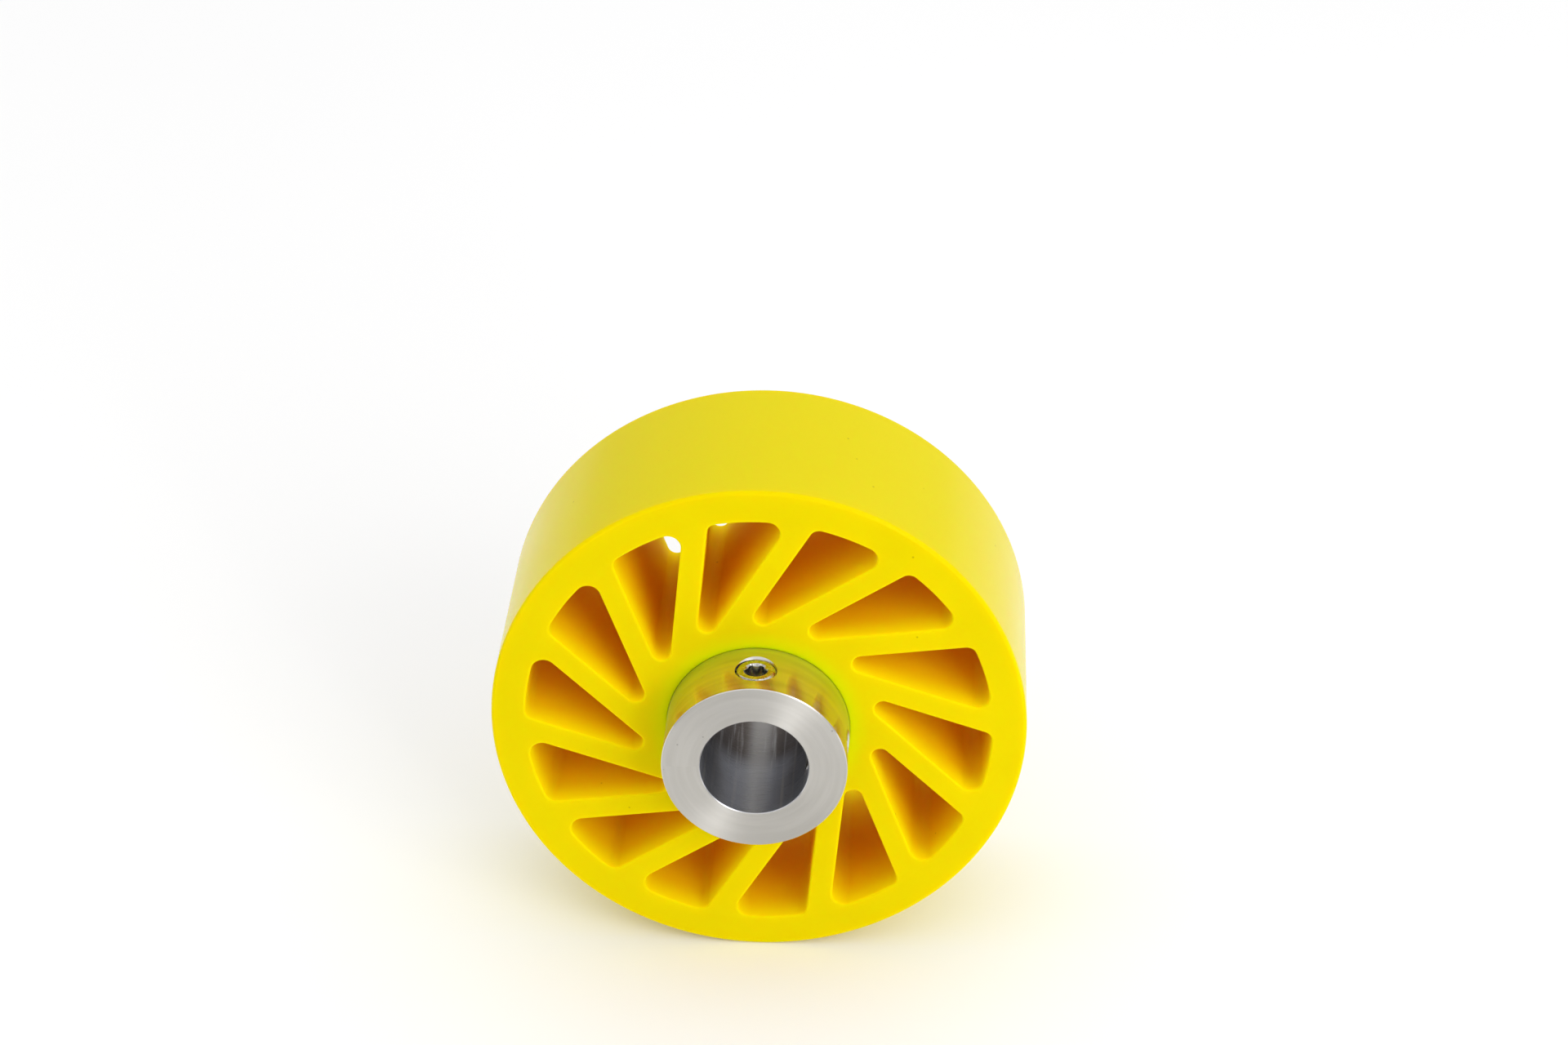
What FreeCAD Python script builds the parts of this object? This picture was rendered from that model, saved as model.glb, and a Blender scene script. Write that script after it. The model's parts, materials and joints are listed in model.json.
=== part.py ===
import FreeCAD, Part
import math
import os

# Open-spoke polyurethane feed wheel, cast on an aluminium hub with two set screws.
# Millimetres and degrees. The wheel turns about Y. The origin is on the bore's axis, half way
# across the tread. The hub's boss points towards -Y, and +Z is up.

V = FreeCAD.Vector

# ---- wheel: tread, rim and spokes
WHEEL_DIAMETER = 127.0
WHEEL_WIDTH = 50.8
TREAD_EDGE_RADIUS = 1.0
RIM_THICKNESS = 8.1
SPOKE_COUNT = 14
SPOKE_WIDTH = 5.6
SPOKE_OFFSET = 19.5         # distance from the axis to a spoke's centre line
FIRST_SPOKE_ANGLE = 7.3     # direction of the first spoke, from +X towards +Z
LEADING_CORNER_RADIUS = 3.0
TRAILING_CORNER_RADIUS = 2.4
TIP_RADIUS = 2.2            # rounded inner end of a pocket
POCKET_EDGE_RADIUS = 0.5

# ---- hub
HUB_DIAMETER = 43.4
BOSS_LENGTH = 18.0
BORE_DIAMETER = 25.4
HUB_CHAMFER = 0.25

# ---- set screws, 3/8 inch with a 3/16 inch socket
SCREW_DIAMETER = 9.525
SCREW_LENGTH = 7.94
SCREW_CLEARANCE = 0.05      # radial gap that stands for the thread's play
SCREW_BELOW_SURFACE = 0.35  # head of the screw under the crown of the boss
SCREW_EDGE_CHAMFER = 0.6
SOCKET_ACROSS_FLATS = 4.763
SOCKET_DEPTH = 4.6
SOCKET_CHAMFER = 0.35
CUP_DIAMETER = 4.8
CUP_DEPTH = 1.2
POINT_CHAMFER = 1.2
SCREW_FROM_BOSS_FACE = 9.0
SCREW_ANGLES = {"set_screw_top": 90.0, "set_screw_side": 0.0}   # from +X towards +Z
HOLE_LEAD_IN = 0.5

# ---- worked out from the sizes above
WHEEL_RADIUS = WHEEL_DIAMETER / 2
HALF_WIDTH = WHEEL_WIDTH / 2
HUB_RADIUS = HUB_DIAMETER / 2
BORE_RADIUS = BORE_DIAMETER / 2
BOSS_FACE_Y = -HALF_WIDTH - BOSS_LENGTH
SCREW_Y = BOSS_FACE_Y + SCREW_FROM_BOSS_FACE
SCREW_RADIUS = SCREW_DIAMETER / 2
HOLE_RADIUS = SCREW_RADIUS + SCREW_CLEARANCE
SCREW_TOP = HUB_RADIUS - SCREW_BELOW_SURFACE
PITCH = 360.0 / SPOKE_COUNT
BEYOND = 1.0                # how far a cutting tool runs past the face it cuts


def revolve_about_y(points):
    """A solid turned about Y from (radius, y) points."""
    outline = [V(radius, y, 0) for radius, y in points]
    return Part.Face(Part.makePolygon(outline + outline[:1])).revolve(V(0, 0, 0), V(0, 1, 0), 360)


# ---- the pocket between two spokes, drawn in the plane of the front face ----

def spoke_edge(angle, offset):
    """A straight spoke edge: its foot (nearest the axis), its outward direction and its left normal."""
    turn = math.radians(angle)
    along = V(math.cos(turn), 0, math.sin(turn))
    left = V(-math.sin(turn), 0, math.cos(turn))
    return left * offset, along, left


def shifted(edge, distance):
    foot, along, left = edge
    return foot + left * distance, along, left


def crossing(edge_a, edge_b):
    """The point where two edges' lines cross."""
    foot_a, along_a, left_a = edge_a
    foot_b, along_b, left_b = edge_b
    return foot_a + along_a * ((foot_b - foot_a).dot(left_b) / along_a.dot(left_b))


def at_radius(edge, radius):
    """The point of an edge's line that lies that far from the axis, on the outward side."""
    foot, along, left = edge
    return foot + along * math.sqrt(radius ** 2 - foot.Length ** 2)


def arc_about(centre, start, end):
    """The shorter arc from start to end about centre."""
    radius = (start - centre).Length
    middle = (start - centre) + (end - centre)
    return Part.Arc(start, centre + middle.normalize() * radius, end).toShape()


def pocket_outline(angle):
    """One pocket: the spoke at this angle is on its right, the next spoke anticlockwise on its left."""
    right = spoke_edge(angle, SPOKE_OFFSET + SPOKE_WIDTH / 2)
    left = spoke_edge(angle + PITCH, SPOKE_OFFSET - SPOKE_WIDTH / 2)
    rim = WHEEL_RADIUS - RIM_THICKNESS

    tip = crossing(shifted(right, TIP_RADIUS), shifted(left, -TIP_RADIUS))
    tip_right = tip - right[2] * TIP_RADIUS
    tip_left = tip + left[2] * TIP_RADIUS

    leading = at_radius(shifted(right, LEADING_CORNER_RADIUS), rim - LEADING_CORNER_RADIUS)
    leading_side = leading - right[2] * LEADING_CORNER_RADIUS
    leading_rim = leading * (rim / leading.Length)

    trailing = at_radius(shifted(left, -TRAILING_CORNER_RADIUS), rim - TRAILING_CORNER_RADIUS)
    trailing_side = trailing + left[2] * TRAILING_CORNER_RADIUS
    trailing_rim = trailing * (rim / trailing.Length)

    edges = [
        arc_about(tip, tip_left, tip_right),
        Part.makeLine(tip_right, leading_side),
        arc_about(leading, leading_side, leading_rim),
        arc_about(V(0, 0, 0), leading_rim, trailing_rim),
        arc_about(trailing, trailing_rim, trailing_side),
        Part.makeLine(trailing_side, tip_left),
    ]
    return Part.Wire(edges)


def make_urethane_wheel():
    """The casting: a plain ring with its tread edges rounded, then fourteen pockets right through it."""
    ring = revolve_about_y([
        (HUB_RADIUS, -HALF_WIDTH), (WHEEL_RADIUS, -HALF_WIDTH),
        (WHEEL_RADIUS, HALF_WIDTH), (HUB_RADIUS, HALF_WIDTH),
    ])
    tread_edges = [
        edge for edge in ring.Edges
        if edge.Curve.TypeId == "Part::GeomCircle" and edge.Curve.Radius > WHEEL_RADIUS - BEYOND
    ]
    ring = ring.makeFillet(TREAD_EDGE_RADIUS, tread_edges)

    tools = []
    for index in range(SPOKE_COUNT):
        face = Part.Face(pocket_outline(FIRST_SPOKE_ANGLE + index * PITCH))
        face.translate(V(0, -HALF_WIDTH - BEYOND, 0))
        tools.append(face.extrude(V(0, WHEEL_WIDTH + 2 * BEYOND, 0)))
    wheel = ring.cut(Part.makeCompound(tools))

    rim_inside = WHEEL_RADIUS - RIM_THICKNESS + BEYOND / 2
    mouth_edges = []
    for edge in wheel.Edges:
        middle = edge.valueAt((edge.FirstParameter + edge.LastParameter) / 2)
        on_face = abs(abs(middle.y) - HALF_WIDTH) < 1e-6
        reach = math.hypot(middle.x, middle.z)
        if on_face and HUB_RADIUS + BEYOND < reach < rim_inside:
            mouth_edges.append(edge)
    return wheel.makeFillet(POCKET_EDGE_RADIUS, mouth_edges)


# ---- hub ----

def along_screw(shape, angle):
    """Moves a shape drawn along +Z at the origin to a screw hole's axis at this angle."""
    moved = shape.copy()
    moved.rotate(V(0, 0, 0), V(0, 1, 0), 90 - angle)
    moved.translate(V(0, SCREW_Y, 0))
    return moved


def make_hub():
    """Turned from bar: a plain cylinder through the wheel, with the boss standing out at the front."""
    cut_in = HUB_CHAMFER
    hub = revolve_about_y([
        (BORE_RADIUS + cut_in, BOSS_FACE_Y), (HUB_RADIUS - cut_in, BOSS_FACE_Y),
        (HUB_RADIUS, BOSS_FACE_Y + cut_in), (HUB_RADIUS, HALF_WIDTH),
        (BORE_RADIUS + cut_in, HALF_WIDTH), (BORE_RADIUS, HALF_WIDTH - cut_in),
        (BORE_RADIUS, BOSS_FACE_Y + cut_in),
    ])
    hole = Part.makeCylinder(HOLE_RADIUS, HUB_RADIUS + BEYOND)
    # the lead-in reaches HOLE_LEAD_IN down the hole from the crown of the boss
    lead_in = Part.makeCone(
        HOLE_RADIUS, HOLE_RADIUS + HOLE_LEAD_IN + BEYOND, HOLE_LEAD_IN + BEYOND,
        V(0, 0, HUB_RADIUS - HOLE_LEAD_IN),
    )
    for angle in SCREW_ANGLES.values():
        hub = hub.cut(along_screw(hole.fuse(lead_in), angle))
    return hub


# ---- set screws ----

def hexagon(across_flats, height):
    """A hexagon outline about Z at this height, with two flats square to Y."""
    corner = across_flats / math.sqrt(3)
    points = [
        V(corner * math.cos(math.radians(60 * k)), corner * math.sin(math.radians(60 * k)), height)
        for k in range(7)
    ]
    return Part.makePolygon(points)


def make_set_screw():
    """A socket set screw standing along +Z, head up, at its distance from the wheel's axis."""
    point = SCREW_TOP - SCREW_LENGTH
    chamfer = SCREW_EDGE_CHAMFER
    cup_radius = CUP_DIAMETER / 2
    outline = [
        V(0, 0, point + CUP_DEPTH), V(cup_radius, 0, point),
        V(SCREW_RADIUS - POINT_CHAMFER, 0, point), V(SCREW_RADIUS, 0, point + POINT_CHAMFER),
        V(SCREW_RADIUS, 0, SCREW_TOP - chamfer), V(SCREW_RADIUS - chamfer, 0, SCREW_TOP),
        V(0, 0, SCREW_TOP),
    ]
    screw = Part.Face(Part.makePolygon(outline + outline[:1])).revolve(V(0, 0, 0), V(0, 0, 1), 360)
    socket = Part.Face(hexagon(SOCKET_ACROSS_FLATS, SCREW_TOP - SOCKET_DEPTH))
    socket = socket.extrude(V(0, 0, SOCKET_DEPTH + BEYOND))
    mouth = SOCKET_ACROSS_FLATS / math.sqrt(3) + SOCKET_CHAMFER / 2
    countersink = Part.makeCone(
        mouth - SOCKET_CHAMFER, mouth + BEYOND, SOCKET_CHAMFER + BEYOND,
        V(0, 0, SCREW_TOP - SOCKET_CHAMFER),
    )
    return screw.cut(socket.fuse(countersink))


nodes = {
    "urethane_wheel": make_urethane_wheel(),
    "hub": make_hub(),
}
for name, angle in SCREW_ANGLES.items():
    nodes[name] = along_screw(make_set_screw(), angle)

os.makedirs("parts", exist_ok=True)
for name, shape in nodes.items():
    solid = shape.Solids[0]
    if len(shape.Solids) != 1 or not solid.isValid():
        raise ValueError(name + " is not one valid solid")
    solid.exportStep("parts/" + name + ".step")
    box = solid.BoundBox
    print(name, round(solid.Volume, 1), "mm3,", [round(v, 2) for v in
          (box.XMin, box.XMax, box.YMin, box.YMax, box.ZMin, box.ZMax)])
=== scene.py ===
import json
import math

import bmesh
import bpy
import mathutils
from mathutils import Matrix, Vector


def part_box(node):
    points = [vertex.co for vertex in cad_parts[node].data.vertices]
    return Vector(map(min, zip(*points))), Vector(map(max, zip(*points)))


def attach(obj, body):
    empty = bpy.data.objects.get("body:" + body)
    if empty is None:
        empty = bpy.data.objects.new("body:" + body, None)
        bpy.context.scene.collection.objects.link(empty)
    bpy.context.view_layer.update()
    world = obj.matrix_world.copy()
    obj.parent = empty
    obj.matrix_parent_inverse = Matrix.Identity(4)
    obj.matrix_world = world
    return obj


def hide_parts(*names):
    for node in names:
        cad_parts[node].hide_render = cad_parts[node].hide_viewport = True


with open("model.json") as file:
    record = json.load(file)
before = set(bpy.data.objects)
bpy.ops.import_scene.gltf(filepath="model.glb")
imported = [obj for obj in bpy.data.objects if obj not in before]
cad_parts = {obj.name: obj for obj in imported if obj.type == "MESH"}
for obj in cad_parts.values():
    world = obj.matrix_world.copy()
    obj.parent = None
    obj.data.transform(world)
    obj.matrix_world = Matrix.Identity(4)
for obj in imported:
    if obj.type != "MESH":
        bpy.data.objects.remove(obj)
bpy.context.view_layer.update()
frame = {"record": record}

# Looks of the open-spoke urethane feed wheel, in metres. The wheel turns about Y, its boss points
# towards -Y, +Z is up, and the origin is on the bore's axis half way across the tread.

MM = 0.001

# ---- places and sizes read from the frame
WHEEL_LOW, WHEEL_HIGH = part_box("urethane_wheel")
HUB_LOW, HUB_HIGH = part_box("hub")
SCREW_LOW, SCREW_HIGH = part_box("set_screw_top")
BORE = next(mount for mount in frame["record"]["mounts"] if mount["name"] == "bore")
WHEEL_RADIUS = WHEEL_HIGH.z
HALF_WIDTH = WHEEL_HIGH.y
HUB_RADIUS = HUB_HIGH.z
BOSS_FACE_Y = HUB_LOW.y
BORE_RADIUS = BORE["dims"]["r_mm"] * MM
SCREW_Y = (SCREW_LOW.y + SCREW_HIGH.y) / 2
SCREW_RADIUS = SCREW_HIGH.x
SCREW_TOP = SCREW_HIGH.z
SCREW_POINT = SCREW_LOW.z

# ---- wheel shape, as designed
SPOKE_COUNT = 14
SPOKE_WIDTH = 5.6 * MM
SPOKE_OFFSET = 19.5 * MM            # distance from the axis to a spoke's centre line
FIRST_SPOKE_ANGLE = 7.3             # degrees from +X towards +Z
RIM_THICKNESS = 8.1 * MM
LEADING_CORNER_RADIUS = 3.0 * MM
TRAILING_CORNER_RADIUS = 2.4 * MM
TIP_RADIUS = 2.2 * MM
POCKET_EDGE_RADIUS = 0.5 * MM
TREAD_EDGE_RADIUS = 1.0 * MM
BOND_LINE = 0.03 * MM               # hairline between casting and hub, seen at the faces
BOND_EDGE_RADIUS = 0.08 * MM
PITCH = 360.0 / SPOKE_COUNT
RIM_INSIDE = WHEEL_RADIUS - RIM_THICKNESS

# ---- set screw shape, 3/8-16 with a 3/16 inch socket
THREAD_PITCH = 1.5875 * MM
THREAD_DEPTH = 0.75 * MM
THREAD_SHARPNESS = 1.15             # above 1 leaves flats on the crests
SCREW_EDGE_CHAMFER = 0.6 * MM
SOCKET_ACROSS_FLATS = 4.763 * MM
SOCKET_DEPTH = 4.6 * MM
SOCKET_CHAMFER = 0.35 * MM
SOCKET_FLOOR_SHARE = 0.94           # drilled core against the socket's flats
SOCKET_DRILL_POINT = 0.8 * MM
CUP_RADIUS = 2.4 * MM
CUP_DEPTH = 1.2 * MM
POINT_CHAMFER = 1.2 * MM
SCREW_ANGLES = {"set_screw_top": 90, "set_screw_side": 0}   # degrees from +X towards +Z

# ---- hub shape
HUB_CHAMFER = 0.25 * MM
HOLE_RADIUS = SCREW_RADIUS + 0.05 * MM
HOLE_GROOVE_DEPTH = 0.35 * MM
HOLE_LEAD_IN = 0.5 * MM
HOLE_STARTS_INSIDE_BORE = 4 * MM    # the drill's travel past the bore's wall
HOLE_OVERRUN = 1 * MM               # and past the outside of the boss

# ---- how finely curves are divided
TREAD_STEPS = 480
HUB_STEPS = 256
SCREW_STEPS = 96
THREAD_ROWS = 110
HOLE_ROWS = 120
TIP_STEPS = 14
CORNER_STEPS = 12
RIM_STEPS = 14
SIDE_STEPS = 18

# ---- camera, as seen from in front of the boss and above
CAMERA_ELEVATION = math.radians(29.79)
CAMERA_TURN = math.radians(2.695)
CAMERA_DISTANCE = 14.074 * WHEEL_RADIUS
CAMERA_LENS_MM = 84.557
AIM_RIGHT = 0.0774 * WHEEL_RADIUS
AIM_UP = 0.5608 * WHEEL_RADIUS


# ---------------------------------------------------------------- outlines in the X-Z plane

def spoke_edge(angle, offset):
    """A straight spoke edge: its foot nearest the axis, its direction and its left normal."""
    turn = math.radians(angle)
    along = Vector((math.cos(turn), math.sin(turn)))
    left = Vector((-math.sin(turn), math.cos(turn)))
    return left * offset, along, left


def shifted(edge, distance):
    foot, along, left = edge
    return foot + left * distance, along, left


def crossing(edge_a, edge_b):
    """The point where two edges' lines cross."""
    foot_a, along_a, left_a = edge_a
    foot_b, along_b, left_b = edge_b
    return foot_a + along_a * ((foot_b - foot_a).dot(left_b) / along_a.dot(left_b))


def at_radius(edge, radius):
    """The point of an edge's line that lies that far from the axis, on the outward side."""
    foot, along, left = edge
    return foot + along * math.sqrt(radius ** 2 - foot.length_squared)


def arc(centre, radius, start, end, steps):
    """Points from start to end the shorter way, with normals that point away from the centre."""
    start_angle = math.atan2(start.y - centre.y, start.x - centre.x)
    end_angle = math.atan2(end.y - centre.y, end.x - centre.x)
    turn = (end_angle - start_angle + math.pi) % (2 * math.pi) - math.pi
    points = []
    for i in range(steps + 1):
        angle = start_angle + turn * i / steps
        normal = Vector((math.cos(angle), math.sin(angle)))
        points.append((centre + normal * radius, normal))
    return points


def straight(start, end, normal, steps):
    """Points between start and end, without either of them."""
    return [(start.lerp(end, i / steps), normal) for i in range(1, steps)]


def circle_outline(radius, steps):
    points = []
    for i in range(steps):
        angle = 2 * math.pi * i / steps
        normal = Vector((math.cos(angle), math.sin(angle)))
        points.append((normal * radius, normal))
    return points


def pocket_outline(angle):
    """One pocket's outline, as points with in-plane normals that point into the urethane."""
    right = spoke_edge(angle, SPOKE_OFFSET + SPOKE_WIDTH / 2)
    left = spoke_edge(angle + PITCH, SPOKE_OFFSET - SPOKE_WIDTH / 2)

    tip = crossing(shifted(right, TIP_RADIUS), shifted(left, -TIP_RADIUS))
    tip_right = tip - right[2] * TIP_RADIUS
    tip_left = tip + left[2] * TIP_RADIUS

    leading = at_radius(shifted(right, LEADING_CORNER_RADIUS), RIM_INSIDE - LEADING_CORNER_RADIUS)
    leading_side = leading - right[2] * LEADING_CORNER_RADIUS
    leading_rim = leading * (RIM_INSIDE / leading.length)

    trailing = at_radius(shifted(left, -TRAILING_CORNER_RADIUS), RIM_INSIDE - TRAILING_CORNER_RADIUS)
    trailing_side = trailing + left[2] * TRAILING_CORNER_RADIUS
    trailing_rim = trailing * (RIM_INSIDE / trailing.length)

    points = arc(tip, TIP_RADIUS, tip_left, tip_right, TIP_STEPS)
    points += straight(tip_right, leading_side, -right[2], SIDE_STEPS)
    points += arc(leading, LEADING_CORNER_RADIUS, leading_side, leading_rim, CORNER_STEPS)
    points += arc(Vector((0, 0)), RIM_INSIDE, leading_rim, trailing_rim, RIM_STEPS)[1:-1]
    points += arc(trailing, TRAILING_CORNER_RADIUS, trailing_rim, trailing_side, CORNER_STEPS)
    points += straight(trailing_side, tip_left, left[2], SIDE_STEPS)
    return points


POCKETS = [pocket_outline(FIRST_SPOKE_ANGLE + k * PITCH) for k in range(SPOKE_COUNT)]
POCKET_MOUTHS = [[p + n * POCKET_EDGE_RADIUS for p, n in pocket] for pocket in POCKETS]


def inside_outline(point, outline):
    inside = False
    previous = outline[-1]
    for current in outline:
        if (current.y > point.y) != (previous.y > point.y):
            share = (point.y - current.y) / (previous.y - current.y)
            if point.x < current.x + share * (previous.x - current.x):
                inside = not inside
        previous = current
    return inside


def in_urethane(point):
    """Whether a point of an end face is on the casting: between hub and rim, outside the pockets."""
    distance = point.length
    if not HUB_RADIUS + BOND_LINE + BOND_EDGE_RADIUS < distance < WHEEL_RADIUS:
        return False
    if distance > RIM_INSIDE + POCKET_EDGE_RADIUS:
        return True
    return not any(inside_outline(point, mouth) for mouth in POCKET_MOUTHS)


# ---------------------------------------------------------------- meshes

def add_object(name, vertices, faces, normals=None):
    """A mesh object in the scene, shaded smooth, with exact normals where they are given."""
    mesh = bpy.data.meshes.new(name)
    mesh.from_pydata(vertices, [], faces)
    mesh.polygons.foreach_set("use_smooth", [True] * len(mesh.polygons))
    mesh.update()
    if normals:
        mesh.normals_split_custom_set_from_vertices(normals)
    piece = bpy.data.objects.new(name, mesh)
    bpy.context.scene.collection.objects.link(piece)
    return piece


def sharpen(piece, degrees):
    """Marks every edge that turns by more than this as sharp, so smooth shading stops there."""
    shape = bmesh.new()
    shape.from_mesh(piece.data)
    for edge in shape.edges:
        edge.smooth = edge.calc_face_angle(0.0) < math.radians(degrees)
    shape.to_mesh(piece.data)
    shape.free()


# ---- the urethane casting

def rounded_rings(edge_radius, edge_steps, middle_steps):
    """A wall from the front face to the back face with both edges rounded, as rings of
    (y, how far the outline grows, y part of the normal)."""
    front = []
    for i in range(edge_steps + 1):
        angle = math.pi / 2 * i / edge_steps
        front.append((
            -HALF_WIDTH + edge_radius * (1 - math.cos(angle)),
            edge_radius * (1 - math.sin(angle)),
            -math.cos(angle),
        ))
    reach = HALF_WIDTH - edge_radius
    middle = [(-reach + 2 * reach * i / middle_steps, 0.0, 0.0) for i in range(1, middle_steps)]
    back = [(-y, grow, -slope) for y, grow, slope in reversed(front)]
    return front + middle + back


def make_wheel():
    """The urethane casting, every wall with its own rounded edges and exact normals."""
    vertices, normals, faces = [], [], []
    front_loops, back_loops = [], []

    def add_wall(outline, rings, side):
        """side is 1 where the outline grows into material (a hole), -1 round the tread."""
        first = len(vertices)
        count = len(outline)
        for y, grow, slope in rings:
            level = math.sqrt(1 - slope ** 2)
            for point, outward in outline:
                place = point + outward * grow * side
                vertices.append((place.x, y, place.y))
                normal = outward * (-side) * level
                normals.append((normal.x, slope, normal.y))
        for r in range(len(rings) - 1):
            for i in range(count):
                a = first + r * count + i
                b = first + r * count + (i + 1) % count
                quad = (a, b, b + count, a + count)
                faces.append(quad if side > 0 else tuple(reversed(quad)))
        last = first + (len(rings) - 1) * count
        front_loops.append(list(range(first, first + count)))
        back_loops.append(list(range(last, last + count)))

    def add_end_face(loops, faces_back):
        """Fills an end face between the walls' loops, leaving the hub and the pockets open."""
        index = [v for loop in loops for v in loop]
        flat = [Vector((vertices[v][0], vertices[v][2])) for v in index]
        edges, at = [], 0
        for loop in loops:
            edges += [(at + i, at + (i + 1) % len(loop)) for i in range(len(loop))]
            at += len(loop)
        triangles = mathutils.geometry.delaunay_2d_cdt(flat, edges, [], 0, 1e-9)[2]
        for triangle in triangles:
            middle = sum((flat[t] for t in triangle), Vector((0, 0))) / 3
            if in_urethane(middle):
                turned = tuple(reversed(triangle)) if faces_back else triangle
                faces.append(tuple(index[t] for t in turned))

    add_wall(circle_outline(WHEEL_RADIUS, TREAD_STEPS), rounded_rings(TREAD_EDGE_RADIUS, 6, 24), -1)
    add_wall(circle_outline(HUB_RADIUS + BOND_LINE, HUB_STEPS), rounded_rings(BOND_EDGE_RADIUS, 3, 4), 1)
    for pocket in POCKETS:
        add_wall(pocket, rounded_rings(POCKET_EDGE_RADIUS, 5, 24), 1)
    add_end_face(front_loops, False)
    add_end_face(back_loops, True)
    return add_object("urethane_casting", vertices, faces, normals)


# ---- set screws and their tapped holes, drawn along +Z

def turned_solid(name, rows, columns):
    """A closed solid about Z. A row is (height, radius), and the radius may be a function of the angle.
    The first and last rows are centre points."""
    vertices, faces = [(0, 0, rows[0][0])], []
    for height, radius in rows[1:-1]:
        for c in range(columns):
            angle = 2 * math.pi * c / columns
            r = radius(angle) if callable(radius) else radius
            vertices.append((r * math.cos(angle), r * math.sin(angle), height))
    vertices.append((0, 0, rows[-1][0]))
    last = len(vertices) - 1
    last_ring = 1 + (len(rows) - 3) * columns
    for c in range(columns):
        d = (c + 1) % columns
        faces.append((0, 1 + d, 1 + c))
        for r in range(len(rows) - 3):
            a = 1 + r * columns + c
            b = 1 + r * columns + d
            faces.append((a, b, b + columns, a + columns))
        faces.append((last_ring + c, last_ring + d, last))
    return add_object(name, vertices, faces)


def thread_wave(angle, height):
    """1 at a thread's crest and 0 at its root, with flat crests; right-handed about +Z."""
    turn = height / THREAD_PITCH - angle / (2 * math.pi)
    share = abs(2 * (turn % 1.0) - 1)
    return min(1.0, share * THREAD_SHARPNESS)


def threaded(height, limit):
    """A radius function: the screw's thread at this height, no wider than the chamfers allow there."""
    return lambda angle: min(limit, SCREW_RADIUS - THREAD_DEPTH * (1 - thread_wave(angle, height)))


def tapped(height, flare):
    """A radius function: the hole's thread grooves at this height, or its lead-in where that is wider."""
    return lambda angle: HOLE_RADIUS + max(HOLE_GROOVE_DEPTH * (1 - thread_wave(angle, height)), flare)


def hexagonal(apothem):
    """A radius function: the six flats of the socket."""
    def radius(angle):
        folded = (angle + math.pi / 6) % (math.pi / 3) - math.pi / 6
        return apothem / math.cos(math.pi / 6 - abs(folded))
    return radius


def make_set_screw(name):
    """Cup point, thread, chamfered head and hexagon socket, at its distance from the wheel's axis."""
    rows = [
        (SCREW_POINT + CUP_DEPTH, 0),
        (SCREW_POINT + CUP_DEPTH * 0.9, CUP_RADIUS * 0.1),
        (SCREW_POINT, CUP_RADIUS),
        (SCREW_POINT, SCREW_RADIUS - POINT_CHAMFER),
    ]
    chamfer_top = SCREW_TOP - SCREW_EDGE_CHAMFER
    chamfer_point = SCREW_POINT + POINT_CHAMFER
    for i in range(1, THREAD_ROWS):
        height = SCREW_POINT + (SCREW_TOP - SCREW_POINT) * i / THREAD_ROWS
        limit = SCREW_RADIUS - max(0, chamfer_point - height, height - chamfer_top)
        rows.append((height, threaded(height, limit)))

    apothem = SOCKET_ACROSS_FLATS / 2
    corner = apothem / math.cos(math.pi / 6)
    socket = hexagonal(apothem)
    floor = SCREW_TOP - SOCKET_DEPTH
    rows += [
        (SCREW_TOP, SCREW_RADIUS - SCREW_EDGE_CHAMFER),
        (SCREW_TOP, corner + SOCKET_CHAMFER / 2),
        (SCREW_TOP - SOCKET_CHAMFER, lambda angle: max(socket(angle), corner - SOCKET_CHAMFER / 2)),
        (SCREW_TOP - 2 * SOCKET_CHAMFER, socket),
        (floor, socket),
        (floor, apothem * SOCKET_FLOOR_SHARE),
        (floor - SOCKET_DRILL_POINT, 0),
    ]
    screw = turned_solid(name, rows, SCREW_STEPS)
    sharpen(screw, 30)
    return screw


def make_tapped_hole():
    """What the drill and tap take out of the boss: a plain hole, thread grooves and a lead-in."""
    low = BORE_RADIUS - HOLE_STARTS_INSIDE_BORE
    high = HUB_RADIUS + HOLE_OVERRUN
    rows = [(low, 0), (low, HOLE_RADIUS)]
    for i in range(1, HOLE_ROWS):
        height = low + (high - low) * i / HOLE_ROWS
        flare = max(0, height - (HUB_RADIUS - HOLE_LEAD_IN))
        rows.append((height, tapped(height, flare)))
    rows += [(high, HOLE_RADIUS + HOLE_LEAD_IN + HOLE_OVERRUN), (high, 0)]
    return turned_solid("tapped_hole", rows, SCREW_STEPS)


def at_screw_hole(piece, angle):
    """Turns a mesh drawn along +Z to a screw hole's axis, in its own vertices."""
    turn = Matrix.Rotation(math.radians(90 - angle), 4, "Y")
    piece.data.transform(Matrix.Translation((0, SCREW_Y, 0)) @ turn)
    return piece


# ---- the hub

def lathe_rows(points, steps_between):
    """Rows along a turned profile, with each stretch cut into equal steps."""
    rows = []
    for (y0, r0), (y1, r1), steps in zip(points, points[1:], steps_between):
        rows += [(y0 + (y1 - y0) * i / steps, r0 + (r1 - r0) * i / steps) for i in range(steps)]
    return rows + [points[-1]]


def apply_modifiers(piece):
    shown = piece.evaluated_get(bpy.context.evaluated_depsgraph_get())
    mesh = bpy.data.meshes.new_from_object(shown)
    piece.modifiers.clear()
    piece.data = mesh


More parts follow.
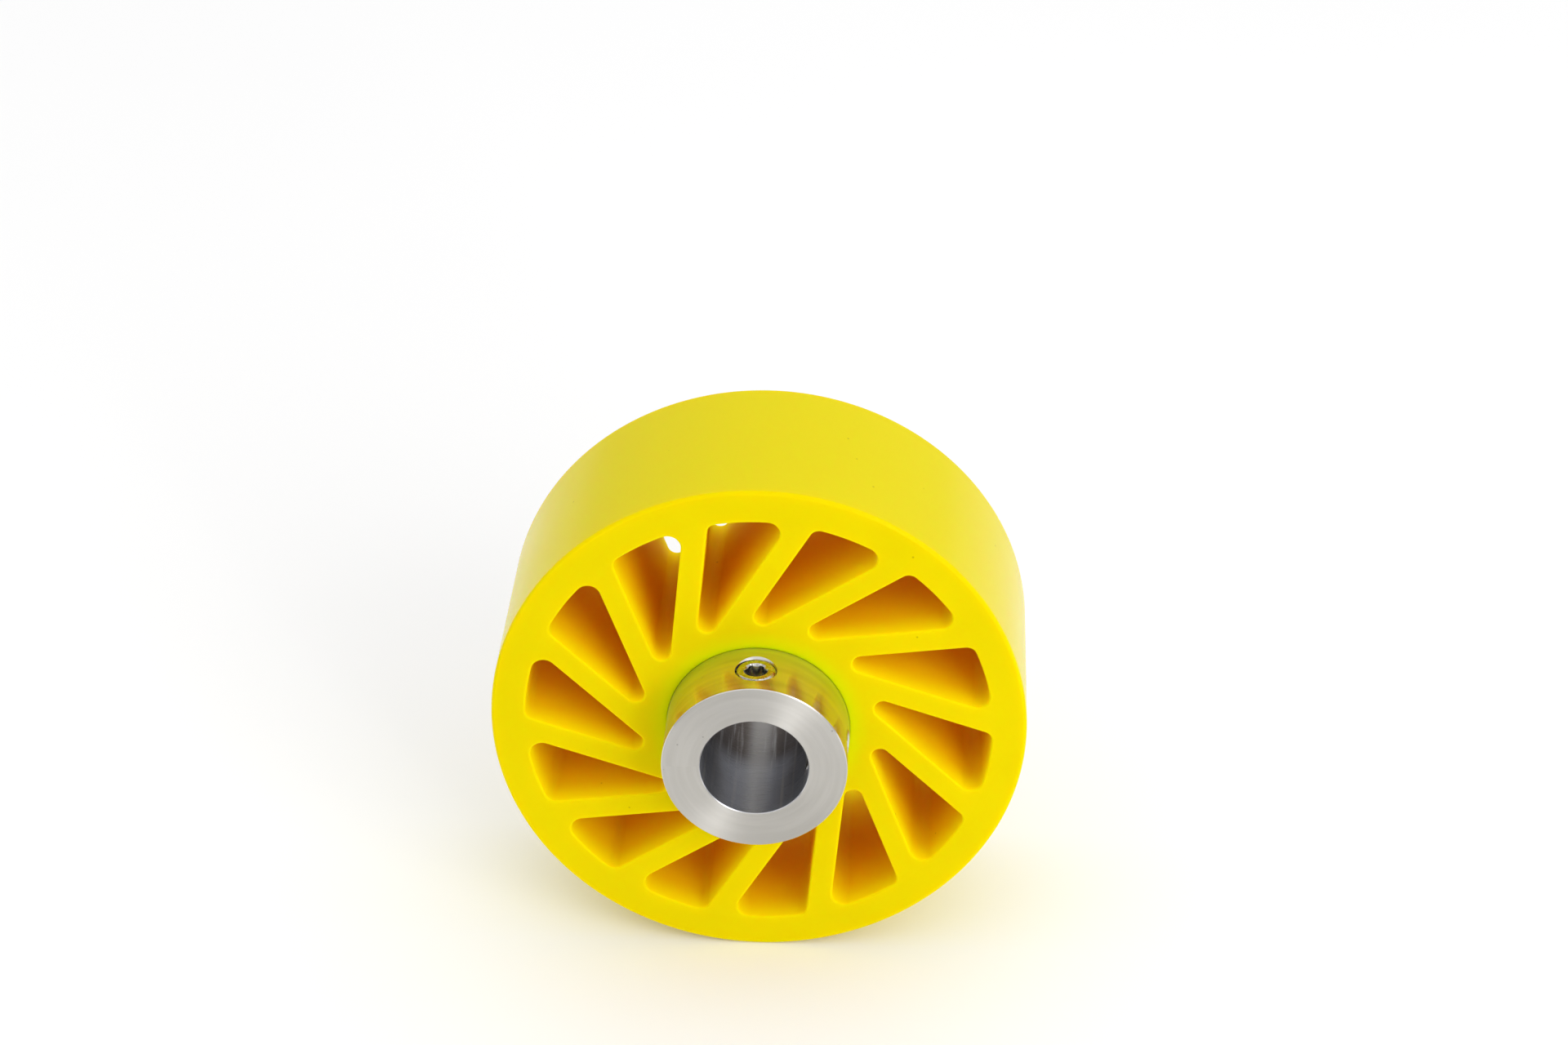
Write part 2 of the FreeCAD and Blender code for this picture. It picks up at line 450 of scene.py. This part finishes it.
def make_hub():
    """The turned hub, bored through, with the two tapped holes cut out of its boss."""
    cut_in = HUB_CHAMFER
    profile = [
        (BOSS_FACE_Y + cut_in, BORE_RADIUS), (BOSS_FACE_Y, BORE_RADIUS + cut_in),
        (BOSS_FACE_Y, HUB_RADIUS - cut_in), (BOSS_FACE_Y + cut_in, HUB_RADIUS),
        (HALF_WIDTH, HUB_RADIUS), (HALF_WIDTH, BORE_RADIUS + cut_in),
        (HALF_WIDTH - cut_in, BORE_RADIUS),
    ]
    rows = lathe_rows(profile, [1, 6, 1, 12, 6, 1])
    vertices, faces = [], []
    for y, radius in rows:
        for k in range(HUB_STEPS):
            angle = 2 * math.pi * k / HUB_STEPS
            vertices.append((radius * math.cos(angle), y, radius * math.sin(angle)))
    for r in range(len(rows)):
        here = r * HUB_STEPS
        after = (r + 1) % len(rows) * HUB_STEPS
        for k in range(HUB_STEPS):
            m = (k + 1) % HUB_STEPS
            faces.append((here + k, after + k, after + m, here + m))
    hub = add_object("turned_hub", vertices, faces)
    for angle in SCREW_ANGLES.values():
        hole = at_screw_hole(make_tapped_hole(), angle)
        cut = hub.modifiers.new("tap", "BOOLEAN")
        cut.operation = "DIFFERENCE"
        cut.solver = "EXACT"
        cut.object = hole
        apply_modifiers(hub)
        bpy.data.objects.remove(hole)
    sharpen(hub, 20)
    return hub


# ---------------------------------------------------------------- materials

class Graph:
    """A material's nodes, with one short call for each kind used here."""

    def __init__(self, name):
        self.material = bpy.data.materials.new(name)
        self.material.use_nodes = True
        self.tree = self.material.node_tree
        self.shader = self.tree.nodes["Principled BSDF"]
        self.place = self.node("ShaderNodeTexCoord").outputs["Object"]

    def node(self, kind, **settings):
        node = self.tree.nodes.new(kind)
        for key, value in settings.items():
            setattr(node, key, value)
        return node

    def put(self, value, socket):
        """Links a node's output to a socket, or sets the socket to a number or colour."""
        if isinstance(value, bpy.types.NodeSocket):
            self.tree.links.new(value, socket)
        elif isinstance(value, tuple) and socket.type == "RGBA":
            socket.default_value = (*value, 1)
        else:
            socket.default_value = value

    def set(self, **values):
        """Sets the shader's own sockets, for what is the same all over: Coat_Weight=0.2."""
        for name, value in values.items():
            self.put(value, self.shader.inputs[name.replace("_", " ")])

    def math(self, operation, a, b=0.0):
        node = self.node("ShaderNodeMath", operation=operation)
        self.put(a, node.inputs[0])
        self.put(b, node.inputs[1])
        return node.outputs[0]

    def add(self, a, b):
        return self.math("ADD", a, b)

    def minus(self, a, b):
        return self.math("SUBTRACT", a, b)

    def times(self, a, b):
        return self.math("MULTIPLY", a, b)

    def below(self, a, b):
        return self.math("LESS_THAN", a, b)

    def above(self, a, b):
        return self.math("GREATER_THAN", a, b)

    def ramp(self, value, low, high, to_low=0.0, to_high=1.0):
        """Smoothly maps low..high to to_low..to_high, and holds the ends."""
        node = self.node("ShaderNodeMapRange", interpolation_type="SMOOTHSTEP")
        for socket, v in zip(node.inputs, (value, low, high, to_low, to_high)):
            self.put(v, socket)
        return node.outputs[0]

    def spread(self, noise, to_low=0.0, to_high=1.0):
        """Noise over its whole new range: nearly all of it lies between 0.3 and 0.7."""
        return self.ramp(noise, 0.3, 0.7, to_low, to_high)

    def mix(self, share, a, b):
        node = self.node("ShaderNodeMix", data_type="RGBA")
        self.put(share, node.inputs[0])
        self.put(a, node.inputs[6])
        self.put(b, node.inputs[7])
        return node.outputs[2]

    def join(self, x, y, z):
        node = self.node("ShaderNodeCombineXYZ")
        for socket, v in zip(node.inputs, (x, y, z)):
            self.put(v, socket)
        return node.outputs[0]

    def noise(self, vector, scale=1.0, detail=2.0, roughness=0.5):
        node = self.node("ShaderNodeTexNoise")
        self.put(vector, node.inputs["Vector"])
        self.put(scale, node.inputs["Scale"])
        self.put(detail, node.inputs["Detail"])
        self.put(roughness, node.inputs["Roughness"])
        return node.outputs[0]

    def spots(self, scale, core, edge):
        """Small scattered spots: 1 inside the core radius, 0 beyond the edge radius, both in cells."""
        node = self.node("ShaderNodeTexVoronoi")
        self.put(self.place, node.inputs["Vector"])
        self.put(scale, node.inputs["Scale"])
        return self.ramp(node.outputs["Distance"], core, edge, 1.0, 0.0)

    def bump(self, height, strength, distance):
        node = self.node("ShaderNodeBump")
        self.put(strength, node.inputs["Strength"])
        self.put(distance, node.inputs["Distance"])
        self.put(height, node.inputs["Height"])
        return node.outputs[0]

    def about_axis(self):
        """The surface's x, y and z, its distance from the wheel's axis, and the angle round it."""
        parts = self.node("ShaderNodeSeparateXYZ")
        self.put(self.place, parts.inputs[0])
        x, y, z = parts.outputs
        reach = self.math("SQRT", self.add(self.times(x, x), self.times(z, z)))
        return x, y, z, reach, self.math("ARCTAN2", z, x)

    def finish(self, colour, roughness, metallic, relief, strength, distance):
        """Colour, roughness and relief reach the shader last; gives the finished material."""
        self.put(colour, self.shader.inputs["Base Color"])
        self.put(roughness, self.shader.inputs["Roughness"])
        self.put(metallic, self.shader.inputs["Metallic"])
        self.put(self.bump(relief, strength, distance), self.shader.inputs["Normal"])
        return self.material


# ---- urethane colours, linear; the blue is nearly none
YELLOW_DEEP = (0.72, 0.59, 0.0006)
YELLOW_CLEAR = (0.75, 0.615, 0.0006)
TREAD_YELLOW = (0.72, 0.60, 0.0006)
# painted light at the pocket mouths, then painted shade and yellow bounce light deepening to orange down
# the pocket walls
MOUTH_PAINTED_LIGHT = (0.93, 0.78, 0.0006)
WALL_PAINTED_SHADE = (0.87, 0.582, 0.0006)
DEEP_PAINTED_SHADE = (0.82, 0.436, 0.0006)
# painted tint: the green that light seen through the urethane takes beside the metal hub, a little darker
# as well
HUB_PAINTED_TINT = (0.69, 0.70, 0.0006)
SPECK_BROWN = (0.30, 0.20, 0.002)

# ---- how the painted shade in the pockets changes with the depth under an end face, and where the painted green tint lies beside the hub
AMBER_SHADE_DEPTHS = (0.3 * MM, 9 * MM)
ORANGE_SHADE_DEPTHS = (6 * MM, 24 * MM)
PAINTED_TINT_WIDTH = 5.5 * MM
PAINTED_TINT_DEPTH = 6 * MM
PAINTED_TINT_SHARE = 0.9
SURFACE_MARGIN = 0.6 * MM           # tells the tread and the pockets from the rest of the casting
SCATTER_RADIUS = (3 * MM, 1.6 * MM, 0.2 * MM)


def urethane_material():
    """Cast urethane: yellow outside, painted light at the pocket mouths and painted shade turning orange
    where the pockets run deep, a painted green tint beside the hub, cloudy, with faint casting layers in
    the pockets and a few dark specks."""
    g = Graph("urethane")
    x, y, z, reach, _ = g.about_axis()
    depth = g.minus(HALF_WIDTH, g.math("ABSOLUTE", y))
    in_pocket = g.below(reach, RIM_INSIDE + SURFACE_MARGIN)
    on_tread = g.above(reach, WHEEL_RADIUS - SURFACE_MARGIN)
    cloud = g.noise(g.place, 45, detail=3)
    specks = g.spots(110, 0.015, 0.04)

    yellow = g.mix(g.spread(cloud), YELLOW_DEEP, YELLOW_CLEAR)
    yellow = g.mix(on_tread, yellow, TREAD_YELLOW)
    # painted light and shade on the pocket walls: bright yellow at the mouths, amber and then orange deeper
    # in
    painted_amber_shade = g.mix(g.ramp(depth, *AMBER_SHADE_DEPTHS), MOUTH_PAINTED_LIGHT, WALL_PAINTED_SHADE)
    walls = g.mix(g.ramp(depth, *ORANGE_SHADE_DEPTHS), painted_amber_shade, DEEP_PAINTED_SHADE)
    on_wall = g.times(in_pocket, g.ramp(depth, 0.0, POCKET_EDGE_RADIUS))
    colour = g.mix(on_wall, yellow, walls)
    # painted green tint and shade on the urethane beside the hub, near the end faces
    near_hub = g.ramp(reach, HUB_RADIUS, HUB_RADIUS + PAINTED_TINT_WIDTH, PAINTED_TINT_SHARE, 0.0)
    shallow = g.ramp(depth, 0.0, PAINTED_TINT_DEPTH, 1.0, 0.0)
    colour = g.mix(g.times(near_hub, shallow), colour, HUB_PAINTED_TINT)
    colour = g.mix(g.times(specks, 0.55), colour, SPECK_BROWN)

    waves = g.noise(g.place, 160)
    layers = g.noise(g.join(g.times(x, 60), g.times(y, 1600), g.times(z, 60)))
    relief = g.add(waves, g.times(g.times(layers, in_pocket), 0.6))
    relief = g.minus(relief, g.times(specks, 1.5))
    rough = g.add(g.spread(cloud, 0.16, 0.22), g.times(in_pocket, 0.5))
    g.set(Subsurface_Weight=1.0, Subsurface_Radius=SCATTER_RADIUS, Subsurface_Scale=1.0, IOR=1.5,
          Specular_IOR_Level=0.05, Specular_Tint=(1.0, 0.85, 0.2))
    return g.finish(colour, rough, 0.0, relief, strength=0.06, distance=0.3 * MM)


# ---- aluminium colours, linear
OUTSIDE_DARK = (0.58, 0.57, 0.55)
OUTSIDE_LIGHT = (0.70, 0.69, 0.66)
FACE_DARK = (0.51, 0.496, 0.467)
FACE_LIGHT = (0.55, 0.535, 0.506)
BORE_GREY = (0.46, 0.47, 0.51)
BORE_SHADE = (0.14, 0.115, 0.10)
BORE_STREAK_AND_REFLECTION = (0.62, 0.61, 0.60)
BONDED_WHITE = (0.95, 0.95, 0.95)
NICK_GREY = (0.20, 0.19, 0.18)

# ---- where each aluminium surface starts
FACE_MARGIN = 0.05 * MM
BORE_MARGIN = 0.1 * MM
BONDED_MARGIN = 0.2 * MM
BORE_SHADE_DEPTHS = (16 * MM, 26 * MM)
BORE_REFLECTION_LANE = (0.8 * MM, 4.5 * MM)    # painted reflection: a lighter lane up the bore, from its middle to its edge


def aluminium_material():
    """Turned aluminium: rings left by the tool, satin end faces, a brighter outside, a bore with painted
    shade that darkens it inwards, rub streaks and a painted reflection lane along its top and bottom, and
    small nicks. Highlights run across the turning."""
    g = Graph("turned_aluminium")
    x, y, _, reach, angle = g.about_axis()
    on_face = g.math("MAXIMUM", g.below(y, BOSS_FACE_Y + FACE_MARGIN), g.above(y, HALF_WIDTH - FACE_MARGIN))
    in_bore = g.below(reach, BORE_RADIUS + BORE_MARGIN)
    in_casting = g.above(y, BONDED_MARGIN - HALF_WIDTH)
    fine_rings = g.noise(g.join(g.times(reach, 5200), g.times(y, 5200), g.times(angle, 0.8)))
    broad_rings = g.spread(g.noise(g.join(g.times(reach, 700), g.times(y, 500), angle)))
    nicks = g.spots(190, 0.03, 0.06)

    outside = g.mix(broad_rings, OUTSIDE_DARK, OUTSIDE_LIGHT)
    outside = g.mix(in_casting, outside, BONDED_WHITE)
    face = g.mix(broad_rings, FACE_DARK, FACE_LIGHT)

    from_ends = g.math("MINIMUM", g.minus(y, BOSS_FACE_Y), g.minus(HALF_WIDTH, y))
    # painted shade: the bore grows darker deeper in from either end
    bore = g.mix(g.ramp(from_ends, *BORE_SHADE_DEPTHS), BORE_GREY, BORE_SHADE)
    around = g.join(g.times(g.math("SINE", angle), 9), g.times(g.math("COSINE", angle), 9), g.times(y, 30))
    streaks = g.ramp(g.noise(around, detail=3), 0.5, 0.72, 0.0, 0.7)
    # painted reflection: a lighter lane along the top and bottom of the bore, mixed in with the real rub
    # streaks
    lane = g.ramp(g.math("ABSOLUTE", x), *BORE_REFLECTION_LANE, 0.6, 0.0)
    bore = g.mix(g.math("MAXIMUM", streaks, lane), bore, BORE_STREAK_AND_REFLECTION)

    colour = g.mix(in_bore, g.mix(on_face, outside, face), bore)
    colour = g.mix(g.times(nicks, 0.5), colour, NICK_GREY)
    rough = g.add(g.add(g.times(on_face, 0.26), 0.18), g.times(in_bore, 0.12))
    rough = g.add(rough, g.spread(fine_rings, -0.03, 0.03))
    relief = g.minus(fine_rings, g.times(nicks, 2.0))

    tangent = g.node("ShaderNodeTangent", direction_type="RADIAL", axis="Y")
    g.set(Tangent=tangent.outputs[0], Anisotropic=0.9, Anisotropic_Rotation=0.25)
    return g.finish(colour, rough, 1.0, relief, strength=0.03, distance=0.05 * MM)


STEEL_DARK = (0.42, 0.41, 0.39)
STEEL_LIGHT = (0.62, 0.61, 0.58)


def screw_material():
    """Bright plated steel with small rub marks."""
    g = Graph("screw_steel")
    marks = g.noise(g.place, 900, detail=4, roughness=0.6)
    colour = g.mix(g.ramp(marks, 0.35, 0.65), STEEL_DARK, STEEL_LIGHT)
    return g.finish(colour, g.spread(marks, 0.16, 0.30), 1.0, marks, strength=0.05, distance=0.05 * MM)


FLOOR_DARK = (0.94, 0.94, 0.94)
FLOOR_LIGHT = (0.96, 0.96, 0.96)


def floor_material():
    g = Graph("pale_floor")
    g.put(g.mix(g.noise(g.place, 3), FLOOR_DARK, FLOOR_LIGHT), g.shader.inputs["Base Color"])
    g.set(Roughness=0.6)
    return g.material


# ---------------------------------------------------------------- the object

def dress(piece, material, body, node):
    """Gives a piece its material and the body that it rides on, and hides the CAD node that it stands for.
    """
    piece.data.materials.clear()
    piece.data.materials.append(material)
    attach(piece, body)
    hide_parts(node)


dress(make_wheel(), urethane_material(), "wheel", "urethane_wheel")
dress(make_hub(), aluminium_material(), "wheel", "hub")
steel = screw_material()
for node, body in (("set_screw_top", "screw_top"), ("set_screw_side", "screw_side")):
    screw = at_screw_hole(make_set_screw(node + "_threaded"), SCREW_ANGLES[node])
    dress(screw, steel, body, node)


# ---------------------------------------------------------------- stage

FLOOR_HALF_SIZE = 20.0              # wide enough to fill the view from low angles


def make_floor():
    corners = [(x * FLOOR_HALF_SIZE, y * FLOOR_HALF_SIZE, -WHEEL_RADIUS)
               for x, y in ((-1, -1), (1, -1), (1, 1), (-1, 1))]
    floor = add_object("floor", corners, [(0, 1, 2, 3)])
    floor.data.materials.append(floor_material())


def make_camera():
    turn = Matrix.Rotation(CAMERA_TURN, 3, "Z")
    forward = turn @ Vector((0, math.cos(CAMERA_ELEVATION), -math.sin(CAMERA_ELEVATION)))
    right = turn @ Vector((1, 0, 0))
    up = right.cross(forward)
    place = right * AIM_RIGHT + up * AIM_UP - forward * CAMERA_DISTANCE
    data = bpy.data.cameras.new("camera")
    data.lens = CAMERA_LENS_MM
    data.sensor_width = 36.0
    data.clip_start = 0.01
    camera = bpy.data.objects.new("camera", data)
    axes = Matrix((right, up, -forward)).transposed()
    camera.matrix_world = Matrix.Translation(place) @ axes.to_4x4()
    bpy.context.scene.collection.objects.link(camera)
    bpy.context.scene.camera = camera


def area_light(name, place, size, power):
    """A rectangular lamp that faces the wheel."""
    data = bpy.data.lights.new(name, "AREA")
    data.shape = "RECTANGLE"
    data.size, data.size_y = size
    data.energy = power
    lamp = bpy.data.objects.new(name, data)
    lamp.location = place
    lamp.rotation_euler = (-Vector(place)).to_track_quat("-Z", "Y").to_euler()
    bpy.context.scene.collection.objects.link(lamp)


def make_world(horizon, overhead, full_height):
    """White light from all round, softly brighter from the height where it is full upwards."""
    world = bpy.data.worlds.new("studio")
    bpy.context.scene.world = world
    world.use_nodes = True
    tree = world.node_tree
    background = tree.nodes["Background"]
    background.inputs["Color"].default_value = (1, 1, 1, 1)
    direction = tree.nodes.new("ShaderNodeTexCoord")
    parts = tree.nodes.new("ShaderNodeSeparateXYZ")
    rise = tree.nodes.new("ShaderNodeMapRange")
    rise.inputs["From Min"].default_value = 0.0
    rise.inputs["From Max"].default_value = full_height
    rise.inputs["To Min"].default_value = horizon
    rise.inputs["To Max"].default_value = overhead
    tree.links.new(direction.outputs["Generated"], parts.inputs[0])
    tree.links.new(parts.outputs["Z"], rise.inputs["Value"])
    tree.links.new(rise.outputs["Result"], background.inputs["Strength"])


make_floor()
make_camera()
make_world(horizon=0.575, overhead=1.066, full_height=0.7)
area_light("soft_key", place=(0.75, -1.0, 0.6), size=(0.8, 0.8), power=6.8)
area_light("small_key", place=(0.53, -1.07, 0.31), size=(0.07, 0.25), power=0.84)
bpy.context.scene.view_settings.view_transform = "Standard"
bpy.context.scene.cycles.max_bounces = 16
bpy.context.scene.cycles.diffuse_bounces = 12
